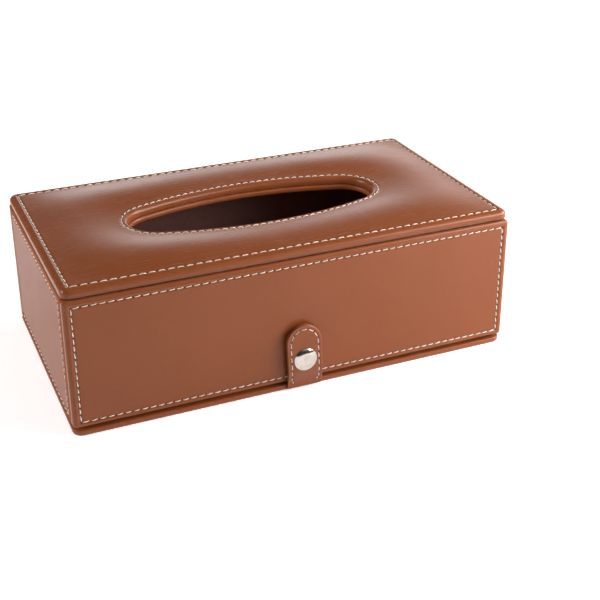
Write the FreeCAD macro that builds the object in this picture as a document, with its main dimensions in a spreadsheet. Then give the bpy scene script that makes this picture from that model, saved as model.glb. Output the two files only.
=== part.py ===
import FreeCAD, Part
import math
import os
import re
import Sketcher
from FreeCAD import Placement, Rotation, Vector

# Leather-covered tissue box, in millimetres. The four walls, the top and the bottom flap are boards
# wrapped in leather, each its own panel. The tissues come out through an oval in the top. The flap
# underneath hinges on a leather strip along the back and is held shut by a strap with a press stud.
#
# Frame: X along the length, -Y to the front (the strap's side), +Z up. The origin is the centre of the
# walls' footprint on the surface that the box stands on.

# alias, value, meaning
SIZES = [
    ("box_length", 240.0, "over the walls, along X"),
    ("box_depth", 132.0, "over the walls, along Y"),
    ("wall_height", 68.8, "of the four wall panels"),
    ("hide", 0.9, "thickness of the covering leather, and of the lining between its turned-in edges"),
    ("turn_in", 9.0, "width of the leather turned in behind each board"),
    ("least_corner", 0.2, "least radius of a board's corners"),
    ("wall_board", 2.1, "thickness of the board in a wall"),
    ("wall_roll", 1.6, "radius of a wall's outer edges"),
    ("wall_bevel", 0.8, "bevel of a wall's inner edges"),
    ("wall_corner", 2.0, "radius of a wall's corners, seen face on"),
    ("flap_board", 1.4, "thickness of the board in the bottom flap"),
    ("flap_gap", 1.2, "between the closed flap and the walls above it"),
    ("flap_lip", 0.6, "how far the flap's front edge stands out past the front wall"),
    ("flap_roll", 1.3, "radius of the flap's lower edges"),
    ("flap_bevel", 0.6, "bevel of the flap's upper edges"),
    ("flap_corner", 5.0, "radius of the flap's two front corners, in plan"),
    ("frame_board", 0.9, "thickness of the board in the frame under the top"),
    ("frame_roll", 1.0, "radius of the frame's edges at the opening"),
    ("frame_bevel", 0.5, "bevel of the frame's lower edges"),
    ("frame_corner", 1.5, "radius of the frame's corners, in plan"),
    ("top_board", 1.9, "thickness of the board in the top"),
    ("top_foam", 1.0, "thickness of the foam over that board"),
    ("top_inset", 0.3, "how far the top's edges lie inside the walls' faces"),
    ("top_reveal", 0.5, "gap between the walls' upper edges and the top"),
    ("top_roll", 2.4, "radius of the top's upper edges"),
    ("top_bevel", 0.9, "bevel of the top's lower edges"),
    ("top_corner", 3.6, "radius of the top's corners, in plan"),
    ("slot_length", 138.8, "length of the oval in the top"),
    ("slot_width", 51.6, "width of the oval in the top"),
    ("slot_end_radius", 17.0, "radius of the oval's ends"),
    ("frame_step", 1.0, "how far the frame's oval lies inside the top's oval"),
    ("hinge_margin", 1.8, "from each end of the back wall to the hinge strip's end"),
    ("hinge_foot", 0.4, "height of the hinge strip's lower edge"),
    ("hinge_roll", 0.7, "radius of the hinge strip's lower edge"),
    ("strap_width", 19.0, "width of the strap"),
    ("strap_top", 37.5, "height of the strap's rounded end"),
    ("strap_front", 1.1, "thickness of the strap's outer leather"),
    ("strap_back", 0.9, "thickness of the strap's inner leather"),
    ("strap_gap", 2.0, "between the front wall and the strap"),
    ("strap_tail", 16.0, "length of the strap held inside the flap"),
    ("strap_edge", 0.35, "bevel of the strap's outer edges"),
    ("strap_back_foot", 1.2, "from the fold's axis to the lower end of the inner leather"),
    ("snap_height", 18.0, "height of the press stud's axis"),
    ("cap_radius", 6.25, "radius of the press stud's cap"),
    ("cap_height", 1.7, "height of the cap's dome above the strap"),
    ("cap_rim", 0.45, "height of the cap's rolled rim"),
    ("cap_edge", 0.2, "bevel of the rim's lower edge"),
    ("cap_barrel", 3.5, "outer radius of the cap's barrel, which passes through the strap"),
    ("cap_wall", 0.4, "thickness of the barrel's wall"),
    ("cap_barrel_length", 1.5, "how far the barrel reaches into the strap"),
    ("socket_bore", 2.55, "radius of the hole in the socket"),
    ("socket_radius", 5.2, "radius of the socket's flange"),
    ("socket_flange", 0.9, "thickness of the socket's flange"),
    ("socket_edge", 0.3, "bevel round the socket's flange"),
    ("socket_depth", 2.3, "length of the socket, flange included"),
    ("spring_wire", 0.5, "width of the square wire of the socket's ring spring"),
    ("spring_split", 24.0, "angle of the gap between the ring spring's ends, in degrees"),
    ("groove_depth", 0.35, "depth of the groove that holds the spring"),
    ("stud_radius", 4.5, "radius of the stud's flange"),
    ("stud_flange", 0.5, "thickness of the stud's flange"),
    ("stud_neck", 1.7, "radius of the stud's neck"),
    ("stud_ball", 2.1, "radius of the stud's ball"),
    ("stud_nose", 1.5, "radius of the flat on the stud's tip"),
    ("neck_top", 1.55, "from the front wall to the end of the neck"),
    ("ball_foot", 1.9, "from the front wall to where the ball is full"),
    ("ball_top", 2.5, "from the front wall to where the ball ends"),
    ("stud_length", 3.0, "from the front wall to the tip of the stud"),
    ("post_radius", 1.2, "radius of the rivet that holds the stud"),
    ("post_head", 4.2, "radius of the rivet's head inside the box"),
    ("post_head_height", 0.6, "height of the rivet's head"),
    ("post_head_edge", 0.25, "bevel round the rivet's head"),
    ("fit", 0.05, "radial play of a shank or barrel in its hole"),
]
NAMES = {alias for alias, size, meaning in SIZES}

# The largest roll that an edge can take, in thicknesses of the leather: on a wrapped edge, where it still
# clears the board inside, and on the hinge strip's bare one.
WRAPPED_ROLL = 2.7
BARE_ROLL = 0.9

# Two points closer than this are the same point.
SAME = 1e-3

# Sizes that follow from the sheet, as expressions.
WALL = "(wall_board + 2 * hide)"
FLAP = "(flap_board + 2 * hide)"
FRAME = "(frame_board + 2 * hide)"
WALL_FOOT = f"({FLAP} + flap_gap)"
WALL_MID = f"({WALL_FOOT} + wall_height / 2)"
TOP_FOOT = f"({WALL_FOOT} + wall_height + top_reveal)"
SIDE_LENGTH = f"(box_depth - 2 * {WALL})"
INNER_LENGTH = f"(box_length - 2 * {WALL})"
FRONT = "(-box_depth / 2)"
BACK = "(box_depth / 2)"
FLAP_FRONT = f"({FRONT} - flap_lip)"
FLAP_BACK = f"({BACK} - hide)"
TAIL_TOP = "(hide + flap_board)"
TAIL_FOOT = f"({TAIL_TOP} - strap_front)"
FOLD_INNER = "strap_back"
FOLD_OUTER = "(strap_back + strap_front)"
FOLD_Y = f"({FRONT} - strap_gap)"
FOLD_Z = f"({TAIL_FOOT} + {FOLD_OUTER})"
TOP_SLOT = ("slot_length / 2", "slot_width / 2", "slot_end_radius")
FRAME_SLOT = tuple(f"({size} - frame_step)" for size in TOP_SLOT)
CAP_SEAT = "(strap_gap + strap_back + strap_front)"
SOCKET_FOOT = "(strap_gap - socket_flange)"
SOCKET_TOP = f"({SOCKET_FOOT} + socket_depth)"
BARREL_BORE = "(cap_barrel - cap_wall)"
GROOVE = f"({SOCKET_FOOT} + socket_flange / 2)"
STUD_AXIS = ("0", FRONT, "snap_height")

# How a panel is turned: its own Z is the way its covered face looks, its own Y is up (on the flap, to
# the front).
FACE_UP = Rotation()
FACE_DOWN = Rotation(Vector(1, 0, 0), 180)
FACE_FRONT = Rotation(Vector(1, 0, 0), 90)
FACE_BACK = Rotation(Vector(0, 0, 1), 180) * FACE_FRONT
FACE_LEFT = Rotation(Vector(0, 0, 1), -90) * FACE_FRONT
FACE_RIGHT = Rotation(Vector(0, 0, 1), 90) * FACE_FRONT

doc = FreeCAD.newDocument("tissue_box")
sheet = doc.addObject("Spreadsheet::Sheet", "Sizes")
parts = []


def fill_sheet():
    for row, (alias, size, meaning) in enumerate(SIZES, start=1):
        sheet.set(f"A{row}", alias)
        sheet.set(f"B{row}", str(size))
        sheet.set(f"C{row}", meaning)
        sheet.setAlias(f"B{row}", alias)
    doc.recompute()


def bound(text):
    """The expression with each size's name made a reference to its cell."""
    return re.sub(r"[a-z_]+", lambda word: "Sizes." + word[0] if word[0] in NAMES else word[0], text)


def value(text):
    """The number that an expression gives now."""
    return float(sheet.evalExpression(bound(text)))


def bind(thing, prop, text):
    thing.setExpression(prop, bound(text))


def new_part(label, rotation=FACE_UP, place=("0", "0", "0")):
    body = doc.addObject("PartDesign::Body", label)
    body.Label = label
    body.Placement = Placement(Vector(), rotation)
    for axis, text in zip("xyz", place):
        bind(body, f"Placement.Base.{axis}", text)
    parts.append(body)
    return body


# Sketches


def new_sketch(body, label, lift="0", plane="XY_Plane"):
    sketch = body.newObject("Sketcher::SketchObject", f"{body.Label}_{label}")
    origin_plane = next(f for f in body.Origin.OriginFeatures if f.Role == plane)
    sketch.AttachmentSupport = [(origin_plane, "")]
    sketch.MapMode = "FlatFace"
    bind(sketch, "AttachmentOffset.Base.z", lift)
    return sketch


def pin(sketch, geometry, point, x, y):
    """Fixes a point of the sketch at two expressions."""
    for kind, text in (("DistanceX", x), ("DistanceY", y)):
        index = sketch.addConstraint(Sketcher.Constraint(kind, -1, 1, geometry, point, value(text)))
        bind(sketch, f"Constraints[{index}]", text)


def size_radius(sketch, geometry, text):
    index = sketch.addConstraint(Sketcher.Constraint("Radius", geometry, value(text)))
    bind(sketch, f"Constraints[{index}]", text)


def join(sketch, kind, first, second):
    """Joins the end of one line or arc to the start of the next."""
    sketch.addConstraint(Sketcher.Constraint(kind, first, 2, second, 1))


def add_line(sketch, start, end):
    return sketch.addGeometry(Part.LineSegment(start, end))


def add_arc(sketch, centre, radius, start, stop):
    arc = Part.ArcOfCircle(Part.Circle(centre, Vector(0, 0, 1), radius), start, stop)
    return sketch.addGeometry(arc)


def add_polygon(sketch, corners):
    """A closed outline of straight lines through corners given as pairs of expressions."""
    points = [Vector(value(x), value(y), 0) for x, y in corners]
    lines = [add_line(sketch, start, end) for start, end in zip(points, points[1:] + points[:1])]
    for line, following, (x, y) in zip(lines, lines[1:] + lines[:1], corners):
        join(sketch, "Coincident", line, following)
        pin(sketch, line, 1, x, y)


def add_plate(sketch, width, height, corner, hinged=False):
    """A rectangle about the origin with rounded corners. A hinged one is square on its -Y side."""
    pieces = []
    turns = [(1, -1), (1, 1), (-1, 1), (-1, -1)]
    x, y, r = value(width) / 2, value(height) / 2, value(corner)
    for index, (side_x, side_y) in enumerate(turns):
        next_x, next_y = turns[(index + 1) % 4]
        rounded = not (hinged and side_y < 0)
        if rounded:
            centre = Vector(side_x * (x - r), side_y * (y - r), 0)
            start = (index - 1) * math.pi / 2
            arc = add_arc(sketch, centre, r, start, start + math.pi / 2)
            sign_x, sign_y = ("" if side > 0 else "-" for side in (side_x, side_y))
            pin(sketch, arc, 3, f"{sign_x}(({width}) / 2 - {corner})", f"{sign_y}(({height}) / 2 - {corner})")
            size_radius(sketch, arc, corner)
            pieces.append((arc, True))
        leave = r if rounded else 0
        arrive = 0 if hinged and next_y < 0 else r
        along = Vector(next_x - side_x, next_y - side_y, 0) / 2
        first = Vector(side_x * x, side_y * y, 0) + along * leave
        last = Vector(next_x * x, next_y * y, 0) - along * arrive
        line = add_line(sketch, first, last)
        if not rounded:
            sign_x = "" if side_x > 0 else "-"
            pin(sketch, line, 1, f"{sign_x}({width}) / 2", f"-({height}) / 2")
        pieces.append((line, False))
    for (piece, is_arc), (following, next_is_arc) in zip(pieces, pieces[1:] + pieces[:1]):
        join(sketch, "Tangent" if is_arc or next_is_arc else "Coincident", piece, following)


def add_oval(sketch, slot, grow):
    """An oval of four arcs that meet without a corner: two round ends and two long, flatter sides."""
    length, width, end = (f"({size} + {grow})" for size in slot)
    side = f"(({length}^2 + {width}^2 - 2 * {length} * {end}) / (2 * ({width} - {end})))"
    a, b, r, big = (value(text) for text in (length, width, end, side))
    turn = math.atan2(big - b, a - r)
    right = add_arc(sketch, Vector(a - r, 0, 0), r, -turn, turn)
    upper = add_arc(sketch, Vector(0, b - big, 0), big, turn, math.pi - turn)
    left = add_arc(sketch, Vector(r - a, 0, 0), r, math.pi - turn, math.pi + turn)
    lower = add_arc(sketch, Vector(0, big - b, 0), big, math.pi + turn, 2 * math.pi - turn)
    join(sketch, "Tangent", right, upper)
    join(sketch, "Tangent", lower, right)
    join(sketch, "Coincident", upper, left)
    join(sketch, "Coincident", left, lower)
    for arc in (upper, lower):
        sketch.addConstraint(Sketcher.Constraint("Symmetric", arc, 1, arc, 2, -2))
    sketch.addConstraint(Sketcher.Constraint("Equal", right, left))
    sketch.addConstraint(Sketcher.Constraint("Equal", upper, lower))
    pin(sketch, right, 3, f"{length} - {end}", "0")
    size_radius(sketch, right, end)
    size_radius(sketch, upper, side)


def circle(body, label, radius, y="0", lift="0"):
    sketch = new_sketch(body, label, lift)
    ring = sketch.addGeometry(Part.Circle(Vector(0, value(y), 0), Vector(0, 0, 1), value(radius)))
    pin(sketch, ring, 3, "0", y)
    size_radius(sketch, ring, radius)
    return sketch


def polygon(body, label, corners, lift="0", plane="XY_Plane"):
    sketch = new_sketch(body, label, lift, plane)
    add_polygon(sketch, corners)
    return sketch


def tongue(body, label, half_width, foot, top):
    """The strap's outline: straight sides and a half-round upper end."""
    sketch = new_sketch(body, label)
    w, low, high = value(half_width), value(foot), value(top)
    left = add_line(sketch, Vector(-w, high - w, 0), Vector(-w, low, 0))
    bottom = add_line(sketch, Vector(-w, low, 0), Vector(w, low, 0))
    right = add_line(sketch, Vector(w, low, 0), Vector(w, high - w, 0))
    crown = add_arc(sketch, Vector(0, high - w, 0), w, 0, math.pi)
    join(sketch, "Coincident", left, bottom)
    join(sketch, "Coincident", bottom, right)
    join(sketch, "Tangent", right, crown)
    join(sketch, "Tangent", crown, left)
    pin(sketch, bottom, 1, f"-{half_width}", foot)
    pin(sketch, right, 1, half_width, foot)
    pin(sketch, crown, 3, "0", f"{top} - {half_width}")
    return sketch


# Features


def pad(body, sketch, length, midplane=False):
    feature = body.newObject("PartDesign::Pad", f"{sketch.Label}_pad")
    feature.Profile = sketch
    feature.Midplane = midplane
    bind(feature, "Length", length)
    doc.recompute()


def pocket(body, sketch, length):
    """Cuts from the sketch along the part's own +Z."""
    before = body.Shape.Volume
    feature = body.newObject("PartDesign::Pocket", f"{sketch.Label}_cut")
    feature.Profile = sketch
    feature.Reversed = True
    bind(feature, "Length", length)
    doc.recompute()
    if body.Shape.Volume >= before:
        raise RuntimeError(f"{feature.Label} removes nothing")


def spin(body, sketch, angle="360"):
    """Turns the sketch about the part's own Z."""
    feature = body.newObject("PartDesign::Revolution", f"{body.Label}_turned")
    feature.Profile = sketch
    feature.ReferenceAxis = (sketch, ["V_Axis"])
    bind(feature, "Angle", angle)
    doc.recompute()


def turned(label, corners):
    """A turned piece of the press stud, through (radius, distance from the front wall) corners."""
    body = new_part(label, FACE_FRONT, STUD_AXIS)
    spin(body, polygon(body, "profile", corners, plane="XZ_Plane"))


def dress_edges(body, kind, label, prop, size, wanted):
    tip = body.Tip
    names = [f"Edge{number}" for number, edge in enumerate(tip.Shape.Edges, start=1) if wanted(edge)]
    feature = body.newObject(f"PartDesign::{kind}", f"{body.Label}_{label}")
    feature.Base = (tip, names)
    bind(feature, prop, size)
    doc.recompute()


def fillet(body, radius, wanted):
    """Rounds the edges of the part so far for which wanted(edge) is true."""
    dress_edges(body, "Fillet", "roll", "Radius", radius, wanted)


def bevel(body, size, wanted):
    """Bevels the edges of the part so far for which wanted(edge) is true."""
    dress_edges(body, "Chamfer", "bevel", "Size", size, wanted)


def level(edge, height):
    """True if the edge lies flat at the height."""
    return all(abs(vertex.Z - height) < SAME for vertex in edge.Vertexes)


# Wrapped panels


class Panel:
    """One wrapped panel's sizes, as expressions in its own frame: X across, Y up, Z out of its covered
    face, with its inner face at Z 0. Its edges are its corners' radius in plan, the roll of its covered
    face's edges and the bevel of its inner ones. A hinged panel has a square edge on its -Y side, where
    the hinge strip runs on. A panel with a slot has the oval through it."""

    def __init__(self, width, height, filling, edges, turn, place, slot=None, hinged=False):
        self.width = width
        self.height = height
        self.filling = filling
        self.corner, roll, self.bevel = edges
        self.roll = f"min({roll}; {WRAPPED_ROLL} * hide)"
        self.turn = turn
        self.place = place
        self.slot = slot
        self.hinged = hinged
        self.thickness = f"({filling} + 2 * hide)"

    def outline(self, body, label, inset="0", lift="0"):
        """The panel's plan, drawn in from its edges and from its slot by the inset."""
        sketch = new_sketch(body, label, lift)
        width, height = (f"{size} - 2 * {inset}" for size in (self.width, self.height))
        add_plate(sketch, width, height, f"max({self.corner} - {inset}; least_corner)", self.hinged)
        if self.slot:
            add_oval(sketch, self.slot, inset)
        return sketch

    def window(self, body, label):
        """The gap between the turned-in edges, with corners cut square."""
        sketch = new_sketch(body, label)
        x, y = (f"({size} / 2 - turn_in)" for size in (self.width, self.height))
        add_polygon(sketch, [(f"-{x}", f"-{y}"), (x, f"-{y}"), (x, y), (f"-{x}", y)])
        if self.slot:
            add_oval(sketch, self.slot, "turn_in")
        return sketch

    def piece(self, label):
        return new_part(label, self.turn, self.place)


def wrapped_cover(label, panel):
    """The leather: it wraps the covered face and the edges, and is turned in behind."""
    body = panel.piece(label)
    pad(body, panel.outline(body, "outline"), panel.thickness)
    hinge_side = -value(panel.height) / 2

    def at_hinge(edge):
        return panel.hinged and all(abs(vertex.Y - hinge_side) < SAME for vertex in edge.Vertexes)

    outer = value(panel.thickness)
    fillet(body, panel.roll, lambda edge: level(edge, outer) and not at_hinge(edge))
    bevel(body, panel.bevel, lambda edge: level(edge, 0) and not at_hinge(edge))
    pocket(body, panel.window(body, "window"), "hide")
    pocket(body, panel.outline(body, "board_space", "hide", "hide"), panel.filling)
    return body


def wrapped_layer(label, panel, thickness, below="0"):
    """A board or foam sheet that fills the leather, on top of what lies below it."""
    body = panel.piece(label)
    pad(body, panel.outline(body, "outline", "hide", f"hide + {below}"), thickness)
    return body


def wrapped_lining(label, panel):
    """The sheet that fills the panel's inner face between the turned-in edges."""
    body = panel.piece(label)
    pad(body, panel.window(body, "outline"), "hide")
    return body


def wall(side, width, turn, place, hinged=False):
    edges = ("wall_corner", "wall_roll", "wall_bevel")
    panel = Panel(width, "wall_height", "wall_board", edges, turn, place, hinged=hinged)
    return (
        wrapped_cover(f"{side}_cover", panel),
        wrapped_layer(f"{side}_board", panel, "wall_board"),
        wrapped_lining(f"{side}_lining", panel),
    )


def build_walls():
    """Front and back run the whole length, and the sides stand between them."""
    inside_y = f"(box_depth / 2 - {WALL})"
    inside_x = f"(box_length / 2 - {WALL})"
    front = wall("front", "box_length", FACE_FRONT, ("0", f"-{inside_y}", WALL_MID))
    wall("back", "box_length", FACE_BACK, ("0", inside_y, WALL_MID), hinged=True)
    wall("left", SIDE_LENGTH, FACE_LEFT, (f"-{inside_x}", "0", WALL_MID))
    wall("right", SIDE_LENGTH, FACE_RIGHT, (inside_x, "0", WALL_MID))
    for body in front:
        hole = circle(body, "rivet_hole", "post_radius + fit", f"snap_height - {WALL_MID}")
        pocket(body, hole, WALL)


def build_top():
    """The padded top, and the thin frame under it that the walls are glued round."""
    top = Panel(
        "(box_length - 2 * top_inset)",
        "(box_depth - 2 * top_inset)",
        "(top_board + top_foam)",
        ("top_corner", "top_roll", "top_bevel"),
        FACE_UP,
        ("0", "0", TOP_FOOT),
        slot=TOP_SLOT,
    )
    wrapped_cover("top_cover", top)
    wrapped_layer("top_board", top, "top_board")
    wrapped_layer("top_foam", top, "top_foam", "top_board")
    wrapped_lining("top_infill", top)

    frame = Panel(
        INNER_LENGTH,
        SIDE_LENGTH,
        "frame_board",
        ("frame_corner", "frame_roll", "frame_bevel"),
        FACE_UP,
        ("0", "0", f"{TOP_FOOT} - {FRAME}"),
        slot=FRAME_SLOT,
    )
    wrapped_cover("frame_cover", frame)
    wrapped_layer("frame_board", frame, "frame_board")
    wrapped_lining("ceiling_lining", frame)


def build_flap():
    """The bottom flap. The strap's tail lies on its board, under the lining, and leaves through a slit
    in the front edge."""
    depth = f"({FLAP_BACK} - {FLAP_FRONT})"
    place = ("0", f"({FLAP_BACK} + {FLAP_FRONT}) / 2", FLAP)
    edges = ("flap_corner", "flap_roll", "flap_bevel")
    panel = Panel("box_length", depth, "flap_board", edges, FACE_DOWN, place, hinged=True)
    tail = [
        ("-strap_width / 2", f"{depth} / 2 - strap_tail"),
        ("strap_width / 2", f"{depth} / 2 - strap_tail"),
        ("strap_width / 2", f"{depth} / 2"),
        ("-strap_width / 2", f"{depth} / 2"),
    ]
    pieces = (wrapped_cover("flap_cover", panel), wrapped_layer("flap_board", panel, "flap_board"))
    for body in pieces:
        pocket(body, polygon(body, "tail_space", tail, "hide"), "strap_front")
    wrapped_lining("flap_lining", panel)

    body = panel.piece("strap_tail")
    pad(body, polygon(body, "outline", tail, "hide"), "strap_front")


def build_hinge_strip():
    """The back wall's leather running on down over the gap and the flap's rear edge."""
    body = new_part("hinge_strip")
    corners = [
        (FLAP_BACK, "hinge_foot"),
        (BACK, "hinge_foot"),
        (BACK, WALL_FOOT),
        (FLAP_BACK, WALL_FOOT),
    ]
    pad(body, polygon(body, "section", corners, plane="YZ_Plane"), "box_length - 2 * hinge_margin", True)
    foot, outer = value("hinge_foot"), value(BACK)

    def lower_outer(edge):
        return level(edge, foot) and all(abs(vertex.Y - outer) < SAME for vertex in edge.Vertexes)

    fillet(body, f"min(hinge_roll; {BARE_ROLL} * hide)", lower_outer)


def build_strap():
    """The strap stands in front of the wall in two layers, and its outer leather folds into the flap."""
    half = "strap_width / 2"

    def layer(label, thickness, offset, foot):
        body = new_part(label, FACE_FRONT, ("0", f"{FRONT} - ({offset})", "0"))
        pad(body, tongue(body, "outline", half, foot, "strap_top"), thickness)
        pocket(body, circle(body, "barrel_hole", "cap_barrel + fit", "snap_height"), thickness)
        return body

    layer("strap_back", "strap_back", "strap_gap", f"({FOLD_Z} + strap_back_foot)")
    front = layer("strap_front", "strap_front", "strap_gap + strap_back", FOLD_Z)
    outer, side, foot = value("strap_front"), value(half), value(FOLD_Z)

    def outer_rim(edge):
        """True for the sides and the round end of the face that shows, but not for its foot."""
        at_side = any(abs(abs(vertex.X) - side) < SAME for vertex in edge.Vertexes)
        return level(edge, outer) and at_side and edge.BoundBox.YMax > foot + SAME

    bevel(front, "strap_edge", outer_rim)


def build_fold():
    """A quarter turn of the outer leather about the strap's hinge line, and its flat run to the flap."""
    body = new_part("strap_fold")
    sketch = new_sketch(body, "section", plane="YZ_Plane")
    centre_y, centre_z, edge_y = value(FOLD_Y), value(FOLD_Z), value(FLAP_FRONT)
    inner, outer = value(FOLD_INNER), value(FOLD_OUTER)
    centre = Vector(centre_y, centre_z, 0)
    top = add_line(sketch, Vector(centre_y - inner, centre_z, 0), Vector(centre_y - outer, centre_z, 0))
    outside = add_arc(sketch, centre, outer, math.pi, 1.5 * math.pi)
    below = add_line(sketch, Vector(centre_y, centre_z - outer, 0), Vector(edge_y, centre_z - outer, 0))
    end = add_line(sketch, Vector(edge_y, centre_z - outer, 0), Vector(edge_y, centre_z - inner, 0))
    above = add_line(sketch, Vector(edge_y, centre_z - inner, 0), Vector(centre_y, centre_z - inner, 0))
    inside = sketch.addGeometry(
        Part.ArcOfCircle(Part.Circle(centre, Vector(0, 0, 1), inner), math.pi, 1.5 * math.pi)
    )
    sketch.addConstraint(Sketcher.Constraint("Coincident", top, 2, outside, 1))
    sketch.addConstraint(Sketcher.Constraint("Coincident", outside, 2, below, 1))
    sketch.addConstraint(Sketcher.Constraint("Coincident", below, 2, end, 1))
    sketch.addConstraint(Sketcher.Constraint("Coincident", end, 2, above, 1))
    sketch.addConstraint(Sketcher.Constraint("Coincident", above, 2, inside, 2))
    sketch.addConstraint(Sketcher.Constraint("Coincident", inside, 1, top, 1))
    pin(sketch, top, 1, f"{FOLD_Y} - {FOLD_INNER}", FOLD_Z)
    pin(sketch, top, 2, f"{FOLD_Y} - {FOLD_OUTER}", FOLD_Z)
    pin(sketch, outside, 2, FOLD_Y, TAIL_FOOT)
    pin(sketch, inside, 2, FOLD_Y, TAIL_TOP)
    pin(sketch, end, 1, FLAP_FRONT, TAIL_FOOT)
    pin(sketch, end, 2, FLAP_FRONT, TAIL_TOP)
    size_radius(sketch, outside, FOLD_OUTER)
    size_radius(sketch, inside, FOLD_INNER)
    pad(body, sketch, "strap_width", True)


def build_cap():
    """A shallow dome on a rolled rim, with the barrel that clenches through the strap."""
    body = new_part("snap_cap", FACE_FRONT, STUD_AXIS)
    sketch = new_sketch(body, "profile", plane="XZ_Plane")
    rise = "(cap_height - cap_rim)"
    dome = f"((cap_radius^2 + {rise}^2) / (2 * {rise}))"
    rim, apex = f"{CAP_SEAT} + cap_rim", f"{CAP_SEAT} + cap_height"
    corners = [
        ("0", apex),
        ("0", CAP_SEAT),
        (BARREL_BORE, CAP_SEAT),
        (BARREL_BORE, f"{CAP_SEAT} - cap_barrel_length"),
        ("cap_barrel", f"{CAP_SEAT} - cap_barrel_length"),
        ("cap_barrel", CAP_SEAT),
        ("cap_radius", CAP_SEAT),
        ("cap_radius", rim),
    ]
    points = [Vector(value(x), value(y), 0) for x, y in corners]
    lines = [add_line(sketch, start, end) for start, end in zip(points, points[1:])]
    for line, following in zip(lines, lines[1:]):
        join(sketch, "Coincident", line, following)
    for line, (x, y) in zip(lines, corners):
        pin(sketch, line, 1, x, y)
    pin(sketch, lines[-1], 2, "cap_radius", rim)
    radius = value(dome)
    centre = Vector(0, value(apex) - radius, 0)
    start = math.asin((value(rim) - centre.y) / radius)
    arc = add_arc(sketch, centre, radius, start, math.pi / 2)
    join(sketch, "Coincident", lines[-1], arc)
    join(sketch, "Coincident", arc, lines[0])
    size_radius(sketch, arc, dome)
    spin(body, sketch)
    seat, outer = value(CAP_SEAT), value("cap_radius")
    bevel(body, "cap_edge", lambda edge: level(edge, seat) and abs(edge.Curve.Radius - outer) < SAME)


def build_socket():
    """The socket that takes the stud's ball, with a groove for its split ring spring."""
    groove_half = "(spring_wire / 2 + fit)"
    corners = [
        ("socket_bore", SOCKET_FOOT),
        ("socket_radius - socket_edge", SOCKET_FOOT),
        ("socket_radius", f"{SOCKET_FOOT} + socket_edge"),
        ("socket_radius", "strap_gap"),
        (BARREL_BORE, "strap_gap"),
        (BARREL_BORE, SOCKET_TOP),
        ("socket_bore", SOCKET_TOP),
        ("socket_bore", f"{GROOVE} + {groove_half}"),
        ("socket_bore + groove_depth", f"{GROOVE} + {groove_half}"),
        ("socket_bore + groove_depth", f"{GROOVE} - {groove_half}"),
        ("socket_bore", f"{GROOVE} - {groove_half}"),
    ]
    turned("snap_socket", corners)

    body = new_part("snap_spring", FACE_FRONT, STUD_AXIS)
    outer = "(socket_bore + groove_depth)"
    inner = f"({outer} - spring_wire)"
    low, high = (f"({GROOVE} {side} spring_wire / 2)" for side in "-+")
    corners = [(inner, low), (outer, low), (outer, high), (inner, high)]
    spin(body, polygon(body, "wire", corners, plane="XZ_Plane"), "360 - spring_split")


def build_stud():
    """The stud on the front wall, and the rivet that holds it from inside the box."""
    corners = [
        ("post_radius", "0"),
        ("stud_radius", "0"),
        ("stud_radius", "stud_flange"),
        ("stud_neck", "stud_flange"),
        ("stud_neck", "neck_top"),
        ("stud_ball", "ball_foot"),
        ("stud_ball", "ball_top"),
        ("stud_nose", "stud_length"),
        ("0", "stud_length"),
        ("0", "ball_top"),
        ("post_radius", "ball_top"),
    ]
    turned("snap_stud", corners)
    head = f"(-{WALL} - post_head_height)"
    corners = [
        ("0", head),
        ("post_head - post_head_edge", head),
        ("post_head", f"{head} + post_head_edge"),
        ("post_head", f"-{WALL}"),
        ("post_radius", f"-{WALL}"),
        ("post_radius", "ball_top"),
        ("0", "ball_top"),
    ]
    turned("snap_rivet", corners)


def check_document():
    doc.recompute()
    for thing in doc.Objects:
        if "Invalid" in thing.State or "Error" in thing.State:
            raise RuntimeError(f"{thing.Label} failed: {thing.State}")
    for body in parts:
        if body.Shape.isNull() or not body.Shape.isValid():
            raise RuntimeError(f"{body.Label} has no valid shape")


def write_parts():
    os.makedirs("parts", exist_ok=True)
    for body in parts:
        body.Shape.exportStep(f"parts/{body.Label}.step")
        box = body.Shape.optimalBoundingBox()
        print(
            f"{body.Label:16s} {len(body.Shape.Solids)} solid, {body.Shape.Volume:10.2f} mm3, "
            f"x {box.XMin:8.2f} {box.XMax:8.2f}, y {box.YMin:8.2f} {box.YMax:8.2f}, "
            f"z {box.ZMin:7.2f} {box.ZMax:7.2f}"
        )


fill_sheet()
build_walls()
build_top()
build_flap()
build_hinge_strip()
build_strap()
build_fold()
build_cap()
build_socket()
build_stud()
check_document()
write_parts()
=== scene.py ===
import math

import bmesh
import bpy
import numpy as np
from mathutils import Matrix, Vector


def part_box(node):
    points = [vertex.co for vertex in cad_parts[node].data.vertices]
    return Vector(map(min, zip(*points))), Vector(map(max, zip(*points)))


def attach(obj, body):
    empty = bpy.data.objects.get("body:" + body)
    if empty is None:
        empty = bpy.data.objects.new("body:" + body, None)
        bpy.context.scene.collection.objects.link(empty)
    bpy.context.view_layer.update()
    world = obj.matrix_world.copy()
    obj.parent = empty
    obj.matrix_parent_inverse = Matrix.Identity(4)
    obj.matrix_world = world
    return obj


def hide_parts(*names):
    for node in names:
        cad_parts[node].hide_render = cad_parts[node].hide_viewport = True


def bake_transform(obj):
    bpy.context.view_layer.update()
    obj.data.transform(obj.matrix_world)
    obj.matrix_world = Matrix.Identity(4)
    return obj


# The looks of a leather-covered tissue box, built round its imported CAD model, in metres. Each wrapped
# panel is a closed leather skin: rings of points over its face, its rolled edge and in behind its board.

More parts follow.
